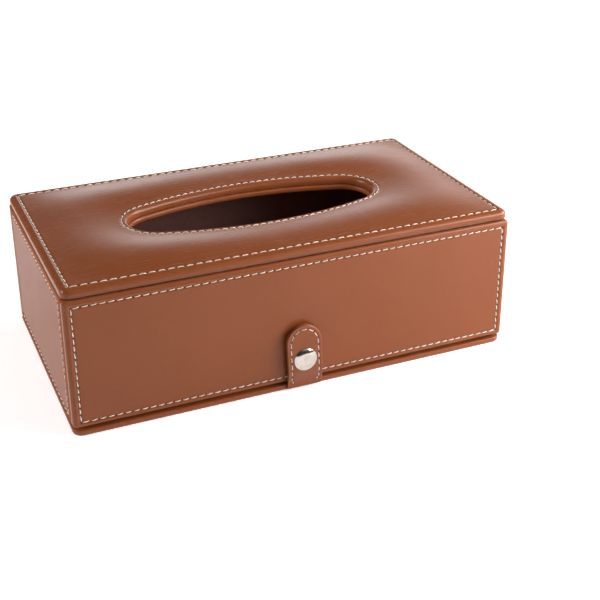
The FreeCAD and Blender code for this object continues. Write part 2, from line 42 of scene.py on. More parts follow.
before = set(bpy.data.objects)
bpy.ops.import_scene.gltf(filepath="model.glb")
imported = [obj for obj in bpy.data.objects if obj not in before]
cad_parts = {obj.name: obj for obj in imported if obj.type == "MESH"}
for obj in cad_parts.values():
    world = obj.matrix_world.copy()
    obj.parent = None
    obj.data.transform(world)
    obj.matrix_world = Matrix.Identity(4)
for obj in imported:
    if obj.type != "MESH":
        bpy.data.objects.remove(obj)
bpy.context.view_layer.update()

MM = 0.001
LEFT, RIGHT = (-1, 0, 0), (1, 0, 0)
FRONT, BACK = (0, -1, 0), (0, 1, 0)
UP, DOWN = (0, 0, 1), (0, 0, -1)

# Camera: the photograph's, fitted to the box's corners. Its axis lies above the picture's middle.
PICTURE = 600
FOCAL_PIXELS = 1146.574
AXIS_ROW = 240
AZIMUTH, ELEVATION, ROLL = -23.129, 24.216, -0.251
DISTANCE = 0.640816
TARGET = Vector((0.027114, 0, 0.051108))
SENSOR = 36

# Floor: pale, with a glow of its own that lifts it to white where it is looked at.
FLOOR_REACH = 6.0
FLOOR_COLOUR = (0.86, 0.86, 0.86, 1)
FLOOR_GLOW = 0.56

# Room: where it is looked at, white up to WALL_TOP degrees and dark from CEILING_FOOT. These are the
# heights at ROOM_LEVEL_X across. Towards the left both lines fall by ROOM_TILT.
WALL_TOP, CEILING_FOOT = 20.5, 24.5
ROOM_LEVEL_X, ROOM_TILT = 0.32, 0.28
CEILING_SEEN = 0.06
ROOM_LIGHT = 0.2

# Black cards standing on the floor: name, start, end and height.
FLAG_COLOUR = (0.03, 0.03, 0.03, 1)
FLAGS = (
    ("front_flag", (-0.35, -0.55), (1.25, -0.55), 0.24),
    ("left_flag", (-0.8, 0.15), (-0.14, 0.28), 0.25),
)

# Lamps: name, place, width, height, power, whether it lights matt surfaces, and whether gloss sees it.
LAMP_TARGET = (0, 0, 0.04)
LAMPS = (
    ("key", (0.80, -0.70, 0.30), 0.5, 0.4, 1.2, True, False),
    ("near_key", (0.36, -0.22, 0.20), 0.4, 0.2, 1.7, True, True),
    ("edge_light", (0.36, -0.22, 0.20), 0.4, 0.2, 5.0, False, True),
    ("front_box", (0.45, -0.72, 0.38), 1.2, 0.44, 1.0, True, True),
    ("right_box", (0.95, -0.15, 0.55), 0.6, 0.6, 7.0, True, True),
    ("left_box", (-1.0, 0.3, 0.45), 0.6, 0.5, 8.5, True, True),
    ("back_screen", (0.5, 1.15, 0.24), 0.9, 0.38, 1.2, True, True),
)

# Seams: stitches along each panel's width and height, mesh cells in a stitch and round a corner, and
# how far each seam lies inside its panel's edges.
LONG_STITCHES, SIDE_STITCHES, FLAP_STITCHES, TOP_STITCHES = (55, 16), (24, 16), (55, 29), (49, 25)
OVAL_STITCHES = 84
STRAP_STITCHES = 17
STITCH_CELLS = 6
CORNER_CELLS = 4
PANEL_SEAM = 3.75 * MM
SIDE_SEAM = 4.0 * MM
SIDE_PANEL_SEAM = 4.8 * MM
FOOT_SEAM = 3.25 * MM
TOP_SEAM = 4.4 * MM
OVAL_SEAM = 3.4 * MM
STRAP_SEAM = 2.0 * MM

# What a seam does to the leather: a groove along it, a pit at each needle hole, puckers between the
# holes, and painted shade at the holes and along the thread. The thread starts below the face.
GROOVE_DEPTH, GROOVE_WIDTH = 0.22 * MM, 0.7 * MM
PIT_DEPTH, PIT_WIDTH = 0.24 * MM, 0.40 * MM
PUCKER_RISE, PUCKER_LENGTH, PUCKER_PLACE, PUCKER_WIDTH = 0.05 * MM, 2.1 * MM, 1.2 * MM, 0.9 * MM
HOLE_SHADE, SEAM_SHADE, SHADE_WIDTH = 0.85, 0.25, 0.50 * MM
THREAD_SINK = 0.12 * MM
FLAP_SEAM_DEPTH, FLAP_SEAM_WIDTH = 0.5 * MM, 1.1 * MM
OVAL_PUCKERS = 1.6
OVAL_DIP, OVAL_DIP_PLACE, OVAL_DIP_WIDTH = 0.28 * MM, 0.5 * MM, 0.7 * MM

# The leather swells between its edge and seam: share of the way to the seam, and width. It waves a
# little inside the roll: height and length. Its rims are paled, partly by wear and partly by a painted
# sheen, and painted shade darkens the foot of the top's edge, over the gap below it.
MARGIN_BULGE = 0.22 * MM
PANEL_MARGIN, TOP_MARGIN = (0.55, 0.9 * MM), (0.62, 1.0 * MM)
SETTLING = 2 * MM
PANEL_WAVES, TOP_WAVES = (0.05 * MM, 42 * MM), (0.06 * MM, 46 * MM)
PANEL_WEAR_AND_SHEEN, TOP_WEAR_AND_SHEEN, STRAP_WEAR_AND_SHEEN = 1.6 * MM, 1.8 * MM, 0.7 * MM
GAP_SHADE, GAP_HEIGHT = 0.8, 0.9 * MM

# The opening's oval in the top, half length, half width and end radius. The frame's is smaller.
SLOT = (69.4 * MM, 25.8 * MM, 17.0 * MM)
FRAME_STEP = 1.0 * MM

# The padded top's rise, and how far its shoulders reach in from the sides, the ends and the oval.
CROWN_RISE = 4.3 * MM
CROWN_SHOULDERS = (22 * MM, 21 * MM, 28 * MM)
CROWN_POWER = 1.4

# The strap's foot lies back against the flap and is drawn up a little: how far, and between which
# heights it straightens. The strap leans to one side by STRAP_SKEW of its height.
STRAP_LEAN, STRAP_TUCK = 2.2 * MM, 0.7 * MM
STRAP_LEAN_FOOT, STRAP_LEAN_TOP = 1.5 * MM, 12.5 * MM
STRAP_SKEW = 0.04
STRAP_ROOT = 1.2 * MM
STRAP_SEAM_FOOT = 0.9 * MM
STRAP_TURN_IN, STRAP_TURN_DOWN = 1.4 * MM, 0.6 * MM
STRAP_THREAD_SINK = 0.1 * MM

# The covers' edges: corner, roll and inner roll. The top's corner is larger than the CAD's.
WALL_EDGES = (2.0 * MM, 1.6 * MM, 0.8 * MM)
TOP_EDGES = (4.4 * MM, 2.4 * MM, 0.9 * MM)
FRAME_EDGES = (1.5 * MM, 1.0 * MM, 0.5 * MM)
FLAP_EDGES = (5.0 * MM, 1.3 * MM, 0.6 * MM)
SMALL_CORNER = 0.35 * MM

# Sizes read from the frame.
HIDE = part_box("front_lining")[1].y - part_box("front_lining")[0].y
TURN_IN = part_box("front_lining")[0].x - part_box("front_cover")[0].x


# Shapes


class Plate:
    """A panel's own frame, from its CAD node's box: u across, v up, n out of the face that shows."""

    def __init__(self, node, normal, up):
        low, high = (np.array(corner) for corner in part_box(node))
        self.n = np.array(normal, float)
        self.v = np.array(up, float)
        self.u = np.cross(self.v, self.n)
        size = high - low
        self.half_u = abs(size @ self.u) / 2
        self.half_v = abs(size @ self.v) / 2
        self.thick = abs(size @ self.n)
        self.origin = (low + high) / 2 - self.n * self.thick / 2

    def world(self, plan, height):
        """Points of the plan, (count, 2), at a height or heights above the plate's inner face."""
        heights = np.broadcast_to(height, plan.shape[:1])
        across, along = np.outer(plan[:, 0], self.u), np.outer(plan[:, 1], self.v)
        return self.origin + across + along + np.outer(heights, self.n)

    def inside(self, sides, foot, top):
        """The bounds of the plan, drawn in by these insets, but not past its middle."""
        sides, foot, top = min(sides, self.half_u), min(foot, self.half_v), min(top, self.half_v)
        return (-self.half_u + sides, self.half_u - sides, -self.half_v + foot, self.half_v - top)


def unevenness(points, size, seed=5):
    """A gentle unevenness from about -1 to 1, with humps about this size apart."""
    rng = np.random.default_rng(seed)
    total = np.zeros(points.shape[:-1])
    waves = 8
    for _ in range(waves):
        direction = rng.normal(size=3)
        direction /= np.linalg.norm(direction)
        wave = size * rng.uniform(0.7, 1.7)
        total += np.sin(2 * math.pi * (points @ direction) / wave + rng.uniform(0, 2 * math.pi))
    return total / (waves / 2)


def face_waves(points, from_roll, waves):
    """The height that a face's gentle waves add, by its distance from the roll."""
    height, length = waves
    return np.clip(from_roll / SETTLING, 0, 1) * height * unevenness(points, length)


def margin_bulge(inset, seam, margin):
    """The height that a margin's swelling adds."""
    place, width = margin
    return MARGIN_BULGE * bell(inset - place * seam, width)


def smooth(share):
    """A soft rise from 0, at a share of 0, to 1, at a share of 1."""
    share = np.clip(share, 0, 1)
    return share * share * (3 - 2 * share)


def bell(distance, width):
    """1 at a distance of 0, and nearly 0 from twice the width on."""
    return np.exp(-((distance / width) ** 2))


def rectangle(bounds, foot_corner, top_corner, cells):
    """Points round a rectangle (u0, u1, v0, v1) with rounded corners, from its lower left to the right."""
    u0, u1, v0, v1 = bounds
    cells_u, cells_v = cells
    limit = max(min(u1 - u0, v1 - v0) / 2, 0)
    low, high = min(foot_corner, limit), min(top_corner, limit)
    sides = (
        ((u0 + low, v0), (u1 - low, v0), (u1 - low, v0 + low), low, cells_u),
        ((u1, v0 + low), (u1, v1 - high), (u1 - high, v1 - high), high, cells_v),
        ((u1 - high, v1), (u0 + high, v1), (u0 + high, v1 - high), high, cells_u),
        ((u0, v1 - high), (u0, v0 + low), (u0 + low, v0 + low), low, cells_v),
    )
    points = []
    for quarter, (start, end, centre, radius, count) in zip((3, 0, 1, 2), sides):
        start, end, centre = np.array(start), np.array(end), np.array(centre)
        points += [start + (end - start) * step / count for step in range(count + 1)]
        for step in range(1, CORNER_CELLS):
            angle = (quarter + step / CORNER_CELLS) * math.pi / 2
            points.append(centre + radius * np.array([math.cos(angle), math.sin(angle)]))
    return np.array(points)


def length_along(points):
    """Distance along a closed line to each of its points, and round it."""
    steps = np.linalg.norm(np.roll(points, -1, axis=0) - points, axis=1)
    return np.concatenate([[0], np.cumsum(steps)[:-1]]), steps.sum()


def needle_holes(seam, cells):
    """For the points of a rectangle's seam: how far along they are, which of them are needle holes, every
    sixth along a side and one at each corner, and how far each is from a hole."""
    along, around = length_along(seam)
    holes, start = [], 0
    for count in (*cells, *cells):
        holes += range(start + STITCH_CELLS, start + count, STITCH_CELLS)
        start += count + CORNER_CELLS
        holes.append(start - CORNER_CELLS // 2)
    gap = np.abs(along[:, None] - along[holes])
    return along, holes, np.minimum(gap, around - gap).min(axis=1)


def bare_side(along, hole_places, counts, bare):
    """How far a panel's seam is sewn, and which holes start a stitch, when one side is left bare."""
    starts = np.ones(len(hole_places), bool)
    if bare is None:
        return np.ones(len(along)), starts
    sides = (*counts, *counts)
    first = sum(sides[:bare]) - 1
    starts[np.arange(first, first + sides[bare])] = False
    low = hole_places[first]
    high = hole_places[(first + sides[bare]) % len(hole_places)]
    if high < low:
        high += along[-1]
    inside = np.minimum(along - low, high - along) / SETTLING
    return 1 - smooth(inside), starts


def arc_profile(inset, height, radius, start, end, steps):
    """Insets and heights round an edge's roll, about its centre."""
    angles = np.linspace(start, end, steps + 1)
    return [(inset - radius * math.cos(a), height + radius * math.sin(a)) for a in angles]


def edge_profile(thick, roll, inner_roll):
    """From the turned-in edge inside the panel, out round the edge and up to the covered face."""
    quarter = math.pi / 2
    profile = [(HIDE, thick - HIDE), (HIDE, HIDE), (TURN_IN, HIDE)]
    profile += [(TURN_IN, 0.25 * HIDE), (TURN_IN - 0.2 * MM, 0), (0.5 * TURN_IN, 0)]
    profile += arc_profile(inner_roll, inner_roll, inner_roll, -quarter, 0, 4)
    return profile + arc_profile(roll, thick - roll, roll, 0, quarter, 7)


def seam_relief(offset, to_hole, puffs=1.0):
    """Height that a seam adds to the leather, by distance across it and to the nearest hole."""
    groove = -GROOVE_DEPTH * bell(offset, GROOVE_WIDTH)
    pit = -PIT_DEPTH * bell(np.hypot(offset, to_hole), PIT_WIDTH)
    beside = bell(np.abs(offset) - PUCKER_PLACE, PUCKER_WIDTH)
    return groove + pit + PUCKER_RISE * puffs * (to_hole / PUCKER_LENGTH) * beside


def painted_pit_shade(offset, to_hole):
    """How much painted shade the leather gets at the needle holes and along the thread, from 0 to 1."""
    hole = HOLE_SHADE * bell(np.hypot(offset, to_hole), SHADE_WIDTH)
    return np.maximum(hole, SEAM_SHADE * bell(offset, SHADE_WIDTH))


def placed(name, data):
    """A new object in the scene, with this mesh, lamp or camera."""
    thing = bpy.data.objects.new(name, data)
    bpy.context.scene.collection.objects.link(thing)
    return thing


def closed_piece(name, mesh, end_points=()):
    """A closed mesh's object, smooth, its faces outwards. End points that meet are merged."""
    work = bmesh.new()
    work.from_mesh(mesh)
    work.verts.ensure_lookup_table()
    if end_points:
        ends = [work.verts[index] for index in end_points]
        bmesh.ops.remove_doubles(work, verts=ends, dist=0.01 * MM)
    if work.calc_volume(signed=True) < 0:
        bmesh.ops.reverse_faces(work, faces=work.faces)
    work.to_mesh(mesh)
    work.free()
    mesh.shade_smooth()
    return placed(name, mesh)


def ring_faces(count, around, closed=False):
    """The four-cornered faces between rings, each with this many points around."""
    first = np.arange(count if closed else count - 1)[:, None] * around
    step = np.arange(around)
    a, b = (first + step).ravel(), (first + (step + 1) % around).ravel()
    return np.stack([a, b, b + around, a + around], axis=1) % (count * around)


def skin(name, rings, closed=False, **shades):
    """A closed mesh through rings of points. Unless the rings close on themselves, the end rings have
    shrunk to a line or a point. shades are what the points carry for the material: pit, the painted
    shade at the needle holes, along the seams and at the foot of the top's edge, and edge, how far the
    rims are paled, partly by wear and partly by a painted sheen."""
    rings = np.array(rings)
    count, around = rings.shape[:2]
    total = count * around
    mesh = bpy.data.meshes.new(name)
    mesh.from_pydata(rings.reshape(-1, 3).tolist(), [], ring_faces(count, around, closed).tolist())
    for label, values in shades.items():
        layer = mesh.attributes.new(label, "FLOAT", "POINT")
        layer.data.foreach_set("value", np.array(values, np.float32).ravel())
    ends = [] if closed else [*range(around), *range(total - around, total)]
    return closed_piece(name, mesh, ends)


def settle(thing, body, slot, material, *replaced):
    """Puts a finished piece on its body, in place of CAD nodes."""
    thing.data.materials.append(material)
    if body:
        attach(thing, body)
    if replaced:
        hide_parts(*replaced)


# Thread


THREAD_RADIUS = 0.30 * MM
THREAD_STEPS = 9
THREAD_SIDES = 10
THREAD_FLATNESS = 0.85
PLY_DEPTH, PLY_TWIST = 0.14, 5.0
END_GIRTH, END_SINK, END_STEEPNESS = 0.72, 0.34 * MM, 0.45


def sew(name, body, starts, ends, normal, cover=0.76, lean=0.25 * MM, rise=0.2 * MM, size=1.0):
    """One two-ply stitch from each start towards its end, sunk at both ends. cover is the share of the
    distance that shows thread, lean how far a stitch slants, and size its thickness."""
    normal = np.array(normal, float)
    along = ends - starts
    forward = along / np.linalg.norm(along, axis=1, keepdims=True)
    side = np.cross(np.broadcast_to(normal, forward.shape), forward)
    t = np.linspace(0, 1, THREAD_STEPS)
    reach = 0.5 + cover * (t - 0.5)
    height = -END_SINK + (END_SINK + rise) * np.sin(math.pi * t) ** END_STEEPNESS
    centre = starts[:, None] + along[:, None] * reach[:, None] + normal * height[:, None]
    centre += side[:, None] * (lean * (t - 0.5))[:, None]
    tangent = np.gradient(centre, axis=1)
    tangent /= np.linalg.norm(tangent, axis=2, keepdims=True)
    across = np.broadcast_to(side[:, None], tangent.shape)
    lift = np.cross(tangent, across)
    angle = np.linspace(0, 2 * math.pi, THREAD_SIDES, endpoint=False)
    ply = (1 - PLY_DEPTH) + PLY_DEPTH * np.cos(2 * (angle - PLY_TWIST * t[:, None]))
    girth = size * THREAD_RADIUS * ply * (END_GIRTH + (1 - END_GIRTH) * np.sin(math.pi * t))[:, None]
    points = centre[:, :, None] + across[:, :, None] * (girth * np.cos(angle))[..., None]
    points += lift[:, :, None] * (THREAD_FLATNESS * girth * np.sin(angle))[..., None]
    per_stitch = THREAD_STEPS * THREAD_SIDES
    quads = ring_faces(THREAD_STEPS, THREAD_SIDES)
    first = np.arange(THREAD_SIDES)[::-1]
    last = np.arange(per_stitch - THREAD_SIDES, per_stitch)
    faces = []
    for shift in range(0, len(starts) * per_stitch, per_stitch):
        faces += (quads + shift).tolist() + [(first + shift).tolist(), (last + shift).tolist()]
    mesh = bpy.data.meshes.new(name)
    mesh.from_pydata(points.reshape(-1, 3).tolist(), [], faces)
    settle(closed_piece(name, mesh), body, "leather", THREAD)


# Materials


def linear(red, green, blue):
    """A screen colour, 0 to 255, as the shader's linear values."""
    def channel(level):
        level /= 255
        return level / 12.92 if level <= 0.04045 else ((level + 0.055) / 1.055) ** 2.4

    return (channel(red), channel(green), channel(blue), 1)


class Nodes:
    """The node tree of a material or of the world, with short calls for its nodes."""

    MIX_COLOURS = (6, 7)
    MIX_RESULT = 2

    def __init__(self, name, world=None):
        self.material = world or bpy.data.materials.new(name)
        self.material.use_nodes = True
        self.tree = self.material.node_tree
        self.shader = self.tree.nodes.get("Principled BSDF")

    def add(self, kind, *values, **inputs):
        """A node of this kind, with values for its first sockets and for those named. In the names, _
        stands for a space."""
        node = self.tree.nodes.new(kind)
        for socket, value in enumerate(values):
            self.feed(node, socket, value)
        for label, value in inputs.items():
            self.feed(node, label.replace("_", " "), value)
        return node

    def feed(self, node, socket, value):
        """Gives an input, by name or number, a value or another node's output."""
        if isinstance(value, bpy.types.NodeSocket):
            self.tree.links.new(value, node.inputs[socket])
        else:
            node.inputs[socket].default_value = value

    def place(self, stretch=(1, 1, 1)):
        """The object's own coordinates, stretched."""
        coordinates = self.add("ShaderNodeTexCoord").outputs["Object"]
        return self.add("ShaderNodeMapping", Vector=coordinates, Scale=stretch).outputs["Vector"]

    def noise(self, size, detail=3.0, roughness=0.5, stretch=(1, 1, 1)):
        """Noise with features about this long, from 0 to 1."""
        shape = {"Scale": 1 / size, "Detail": detail, "Roughness": roughness}
        return self.add("ShaderNodeTexNoise", Vector=self.place(stretch), **shape).outputs["Fac"]

    def spread(self, noise, low=0.0, high=1.0):
        """Noise carried to the range from low to high. Most of it lies between NOISE_LOW and NOISE_HIGH."""
        return self.span(noise, NOISE_LOW, NOISE_HIGH, low, high)

    def span(self, value, low, high, out_low=0.0, out_high=1.0):
        """The value carried from one range to another, and held at its ends."""
        return self.add("ShaderNodeMapRange", value, low, high, out_low, out_high).outputs["Result"]

    def maths(self, operation, first, second):
        node = self.add("ShaderNodeMath", first, second)
        node.operation = operation
        return node.outputs["Value"]

    def weighed(self, first, second, share):
        """A mean of two values, with this share of the first."""
        first = self.maths("MULTIPLY", first, share)
        return self.maths("ADD", first, self.maths("MULTIPLY", second, 1 - share))

    def blend(self, share, first, second):
        """A colour between two, by the share."""
        node = self.add("ShaderNodeMix")
        node.data_type = "RGBA"
        self.feed(node, "Factor", share)
        for socket, colour in zip(self.MIX_COLOURS, (first, second)):
            self.feed(node, socket, colour)
        return node.outputs[self.MIX_RESULT]

    def attribute(self, label):
        """A number that the mesh's points carry."""
        node = self.add("ShaderNodeAttribute")
        node.attribute_name = label
        return node.outputs["Fac"]

    def bump(self, height, depth, below=None):
        """Bumps of this depth in metres, on top of the bumps below."""
        node = self.add("ShaderNodeBump", Height=height, Strength=1.0, Distance=depth)
        if below is not None:
            self.feed(node, "Normal", below)
        return node.outputs["Normal"]

    def finish(self, **inputs):
        """The material, with these inputs of its shader. In their names, _ stands for a space."""
        for label, value in inputs.items():
            self.feed(self.shader, label.replace("_", " "), value)
        return self.material


NOISE_LOW, NOISE_HIGH = 0.3, 0.7

LEATHER_DEEP = linear(140, 73, 37)
LEATHER_WARM = linear(146, 78, 42)
# The rolled edges' paler colour: partly wear, partly a painted sheen.
LEATHER_EDGE_WEAR_AND_SHEEN = linear(160, 92, 60)
# The colour of painted shade at needle holes, seams and the foot of the top's edge.
PAINTED_HOLE_SHADE = linear(62, 26, 12)
LEATHER_GLOSS = (0.21, 0.25)
SHINE = 0.5
LENGTHWISE, CROSSWISE = (0.035, 1, 1), (1, 0.035, 1)


def leather(
    name, streaks, index, grain_depth, relief=0.0004 * MM, streak_gloss=0.015, wear_and_sheen=0.45, matt=0.0
):
    """Coated leather: faint mottling, a fine grain and hair-fine streaks, with painted shade at the needle
    holes, along the seams and at the foot of the top's edge. index is the finish's refraction, relief
    the streaks' depth, streak_gloss the roughness that they add, the next number how far the rolled
    edges are paled, partly by wear and partly by a painted sheen, and matt how far they have lost their
    shine."""
    make = Nodes(name)
    mottle = make.noise(34 * MM, detail=4, roughness=0.55)
    fine = make.noise(2.2 * MM, detail=3)
    tone = make.spread(make.weighed(mottle, fine, 0.6))
    colour = make.blend(tone, LEATHER_DEEP, LEATHER_WARM)
    # Rolled edges paled: partly wear, partly a painted sheen.
    colour = make.blend(make.maths("MULTIPLY", make.attribute("edge"), wear_and_sheen), colour, LEATHER_EDGE_WEAR_AND_SHEEN)
    # Painted shade: darker at the needle holes, along the seams and at the foot of the top's edge.
    colour = make.blend(make.attribute("pit"), colour, PAINTED_HOLE_SHADE)
    streak = make.noise(0.8 * MM, detail=3, roughness=0.6, stretch=streaks)
    grain = make.noise(0.42 * MM, detail=2.5, roughness=0.6)
    roll = make.noise(11 * MM, detail=2)
    gloss = make.maths("ADD", make.spread(streak, 0.0, streak_gloss), make.spread(roll, *LEATHER_GLOSS))
    normal = make.bump(roll, 0.03 * MM)
    normal = make.bump(streak, relief, normal)
    normal = make.bump(grain, grain_depth, normal)
    shine = make.span(make.attribute("edge"), 0, 1, SHINE, SHINE * (1 - matt)) if matt else SHINE
    return make.finish(Base_Color=colour, Roughness=gloss, Normal=normal, IOR=index, Specular_IOR_Level=shine)


def thread():
    make = Nodes("thread")
    fibre = make.noise(0.25 * MM, detail=3)
    colour = make.blend(make.spread(fibre), linear(248, 224, 198), linear(255, 246, 232))
    normal = make.bump(make.noise(0.12 * MM), 0.02 * MM)
    return make.finish(Base_Color=colour, Roughness=0.62, Normal=normal, Sheen_Weight=0.25)


def velour():
    make = Nodes("velour")
    nap = make.noise(1.1 * MM, detail=4, roughness=0.7)
    patch = make.noise(26 * MM, detail=3)
    tone = make.spread(make.weighed(nap, patch, 0.6))
    colour = make.blend(tone, linear(124, 74, 62), linear(152, 94, 80))
    normal = make.bump(nap, 0.12 * MM)
    sheen = {"Sheen_Weight": 0.35, "Sheen_Roughness": 0.5}
    return make.finish(Base_Color=colour, Roughness=0.92, Normal=normal, **sheen)


def board():
    make = Nodes("board")
    fibre = make.noise(0.8 * MM, detail=5, roughness=0.65, stretch=(0.3, 1, 1))
    colour = make.blend(make.spread(fibre), linear(138, 126, 110), linear(176, 164, 146))
    return make.finish(Base_Color=colour, Roughness=0.9, Normal=make.bump(fibre, 0.05 * MM))


def foam():
    make = Nodes("foam")
    cells = make.add("ShaderNodeTexVoronoi", Vector=make.place(), Scale=1 / (0.6 * MM)).outputs["Distance"]
    colour = make.blend(make.span(cells, 0.0, 0.8), linear(196, 186, 160), linear(232, 224, 200))
    return make.finish(Base_Color=colour, Roughness=0.95, Normal=make.bump(cells, 0.15 * MM))


def nickel():
    make = Nodes("nickel")
    haze = make.noise(3.5 * MM, detail=3)
    scratch = make.noise(0.3 * MM, detail=2, stretch=(0.06, 1, 1))
    colour = make.blend(make.spread(haze), linear(184, 176, 167), linear(204, 197, 189))
    gloss = make.spread(haze, 0.11, 0.14)
    normal = make.bump(scratch, 0.0015 * MM)
    return make.finish(Base_Color=colour, Roughness=gloss, Normal=normal, Metallic=1.0)


TOP_LEATHER = leather(
    "leather_top", LENGTHWISE, 1.42, 0.006 * MM, relief=0.007 * MM, streak_gloss=0.055, wear_and_sheen=0.1, matt=0.25
)
WALL_LEATHER = leather("leather_wall", LENGTHWISE, 1.36, 0.005 * MM, matt=0.1)
LONG_LEATHER = leather("leather_lengthwise", LENGTHWISE, 1.36, 0.005 * MM)
SIDE_LEATHER = leather("leather_side", CROSSWISE, 1.09, 0.002 * MM)
CROSS_LEATHER = leather("leather_crosswise", CROSSWISE, 1.38, 0.004 * MM)
THREAD = thread()
VELOUR = velour()
BOARD = board()
FOAM = foam()
NICKEL = nickel()


# Flat wrapped panels


SEAM_OFFSETS = (-0.9, -0.6, -0.35, -0.15, 0, 0.15, 0.35, 0.6, 0.9)
PANEL_OFFSETS, PANEL_SHARES = (*SEAM_OFFSETS, 1.3, 1.9, 2.8, 4.2), (0.09, 0.2, 0.34, 0.5, 0.68, 0.85, 1)
TOP_OFFSETS = (*SEAM_OFFSETS, 1.4, 2.2, 3.4)
STRAP_OFFSETS, STRAP_SHARES = (-0.7, -0.45, -0.2, 0, 0.2, 0.45, 0.7, 1.1, 1.8), (0.3, 0.65, 1)


def face_insets(start, seam, offsets, before, end=0, after=()):
    """Insets of a face's rings: shares of the way to the first of the offsets, in millimetres, from its
    seam, then the offsets, and shares of the way on to the end."""
    near = [seam + offset * MM for offset in offsets]
    first = [start + (near[0] - start) * share for share in before]
    return first + near + [near[-1] + (end - near[-1]) * share for share in after]


def panel(name, body, plate, material, edges, seam, counts, hinged=False, depth=0.0, bare=None):
    """A board's leather skin and its seam. seam gives the inset at the sides, foot and top. A hinged
    panel is square along its foot, where the hinge leather runs on. depth sinks the seam. bare is the
    side that has no seam: 0 foot, 1 right, 2 top, 3 left."""
    corner, roll, inner_roll = edges
    seam_side, seam_foot, seam_top = seam
    cells = tuple(STITCH_CELLS * count for count in counts)
    middle = min(plate.half_u, plate.half_v)
    profile = [(middle, plate.thick - HIDE), (0.5 * middle, plate.thick - HIDE)]
    profile += edge_profile(plate.thick, roll, inner_roll)
    first_face = len(profile)
    insets = face_insets(roll, seam_top, PANEL_OFFSETS, (0.35, 0.7), middle, PANEL_SHARES)
    profile += [(inset, plate.thick) for inset in insets]

    def outline(inset, face):
        """The plan at an inset. On the face, the sides' insets run to the seam's own."""
        start = roll if face else inner_roll
        share = np.interp(inset, [roll, seam_top, seam_top + 2 * MM, middle], [0, 1, 1, 0]) if face else 0
        sides = inset + share * (seam_side - seam_top)
        foot = inset + share * (seam_foot - seam_top)
        if hinged and inset < seam_top:
            foot = np.interp(inset, [0, start, seam_top], [0, 0, seam_foot])
        round_corner = max(corner - inset, SMALL_CORNER)
        foot_corner = SMALL_CORNER if hinged else round_corner
        return rectangle(plate.inside(sides, foot, inset), foot_corner, round_corner, cells)

    stitched = outline(seam_top, True)
    along, holes, to_hole = needle_holes(stitched, cells)
    sewn_share, sewn_holes = bare_side(along, along[holes], counts, bare)
    rings, painted_shades, rims = [], [], []
    for index, (inset, height) in enumerate(profile):
        face = index >= first_face
        points = plate.world(outline(inset, face), height)
        offset = inset - seam_top
        relief = np.zeros(len(points))
        if face:
            relief = face_waves(points, inset - roll, PANEL_WAVES)
            relief += sewn_share * (seam_relief(offset, to_hole) - depth * bell(offset, FLAP_SEAM_WIDTH))
            relief += margin_bulge(inset, seam_top, PANEL_MARGIN) * (depth == 0)
        rings.append(points + relief[:, None] * plate.n)
        # Painted shade at the needle holes and along the thread.
        painted_shades.append(sewn_share * painted_pit_shade(offset, to_hole) * face)
        # Rims paled, partly by wear and partly by a painted sheen.
        rims.append(np.full(len(points), bell(inset, PANEL_WEAR_AND_SHEEN) if height > HIDE else 0.0))
    thing = skin(f"{name}_leather", rings, pit=painted_shades, edge=rims)
    settle(thing, body, "leather", material, f"{name}_cover")
    starts = plate.world(stitched, plate.thick - THREAD_SINK - depth)[holes]
    ends = np.roll(starts, -1, axis=0)
    sew(f"{name}_stitches", body, starts[sewn_holes], ends[sewn_holes], plate.n)


def lining(name, body, plate):
    """A thin velour sheet, slightly uneven."""
    cells = (64, 32)
    middle = min(plate.half_u, plate.half_v)
    edge = 0.3 * MM
    lump = 0.06 * MM
    profile = [(middle, 0), (0.4 * middle, 0), (0, 0), (0, plate.thick - edge)]
    profile += arc_profile(edge, plate.thick - edge, edge, 0, math.pi / 2, 3)[1:]
    profile += [(middle * share, plate.thick) for share in (0.05, 0.12, 0.25, 0.4, 0.6, 0.8, 1.0)]
    rings = []
    for inset, height in profile:
        bounds = plate.inside(inset, inset, inset)
        points = plate.world(rectangle(bounds, SMALL_CORNER, SMALL_CORNER, cells), height)
        relief = lump * unevenness(points, 22 * MM, seed=9) - lump
        rings.append(points + (relief * (height >= plate.thick - edge))[:, None] * plate.n)
    settle(skin(f"{name}_velour", rings), body, "lining", VELOUR, f"{name}_lining")


def build_walls():
    end_seam = (SIDE_SEAM, FOOT_SEAM, PANEL_SEAM)
    side_seam = (SIDE_PANEL_SEAM, FOOT_SEAM, PANEL_SEAM)
    walls = (
        ("front", FRONT, end_seam, LONG_STITCHES, WALL_LEATHER, {}),
        ("back", BACK, end_seam, LONG_STITCHES, WALL_LEATHER, {"hinged": True}),
        ("left", LEFT, side_seam, SIDE_STITCHES, SIDE_LEATHER, {"bare": 3}),
        ("right", RIGHT, side_seam, SIDE_STITCHES, SIDE_LEATHER, {"bare": 1}),
    )
    for name, normal, seam, counts, material, how in walls:
        plate = Plate(f"{name}_cover", normal, UP)
        panel(name, "box", plate, material, WALL_EDGES, seam, counts, **how)
        lining(name, "box", Plate(f"{name}_lining", tuple(-value for value in normal), UP))


def build_flap():
    plate = Plate("flap_cover", DOWN, FRONT)
    seam = (SIDE_SEAM, PANEL_SEAM, PANEL_SEAM)
    panel("flap", "flap", plate, LONG_LEATHER, FLAP_EDGES, seam, FLAP_STITCHES, True, FLAP_SEAM_DEPTH)
    lining("flap", "flap", Plate("flap_lining", UP, BACK))


# The top and its frame, which have the oval through them


